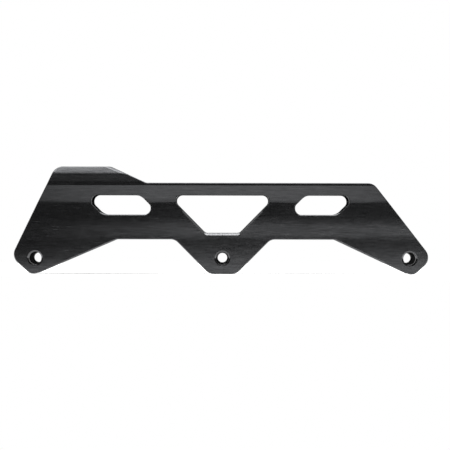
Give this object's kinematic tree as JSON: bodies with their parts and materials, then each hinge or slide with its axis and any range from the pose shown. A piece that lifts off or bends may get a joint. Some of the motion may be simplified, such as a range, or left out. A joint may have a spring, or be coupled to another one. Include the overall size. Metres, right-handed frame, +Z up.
{
  "type": "inline skate frame",
  "caption": "Milled aluminium channel frame for an inline skate, with a raised heel deck, axle bushes and thread inserts for large wheels, and sliding washers for the boot bolts.",
  "frame": {"origin": "midway between the two noses along X, on the middle plane between the walls, on the level of the feet's lower edges", "axes": "+X towards the toe, -Y towards the side that the axles are put in from, +Z up towards the boot"},
  "size_m": [0.2688, 0.036, 0.0697],
  "materials": {
    "frame_black": "black anodised, brushed lengthwise, satin",
    "bush_black": "black anodised, turned",
    "insert_steel": "black oxide steel, turned and threaded",
    "washer_steel": "zinc-plated steel plate"
  },
  "bodies": {
    "frame": {"frame_extrusion": "frame_black", "axle_bush_rear": "bush_black", "axle_bush_middle": "bush_black", "axle_bush_front": "bush_black", "axle_insert_rear": "insert_steel", "axle_insert_middle": "insert_steel", "axle_insert_front": "insert_steel"},
    "rear_washer": {"mount_washer_rear": "washer_steel"},
    "front_washer": {"mount_washer_front": "washer_steel"}
  },
  "joints": [
    {"name": "rear_washer_slide", "type": "slide", "parent": "frame", "child": "rear_washer", "axis": [1, 0, 0], "range_m": [-0.003, 0.003]},
    {"name": "front_washer_slide", "type": "slide", "parent": "frame", "child": "front_washer", "axis": [1, 0, 0], "range_m": [-0.003, 0.003]}
  ]
}
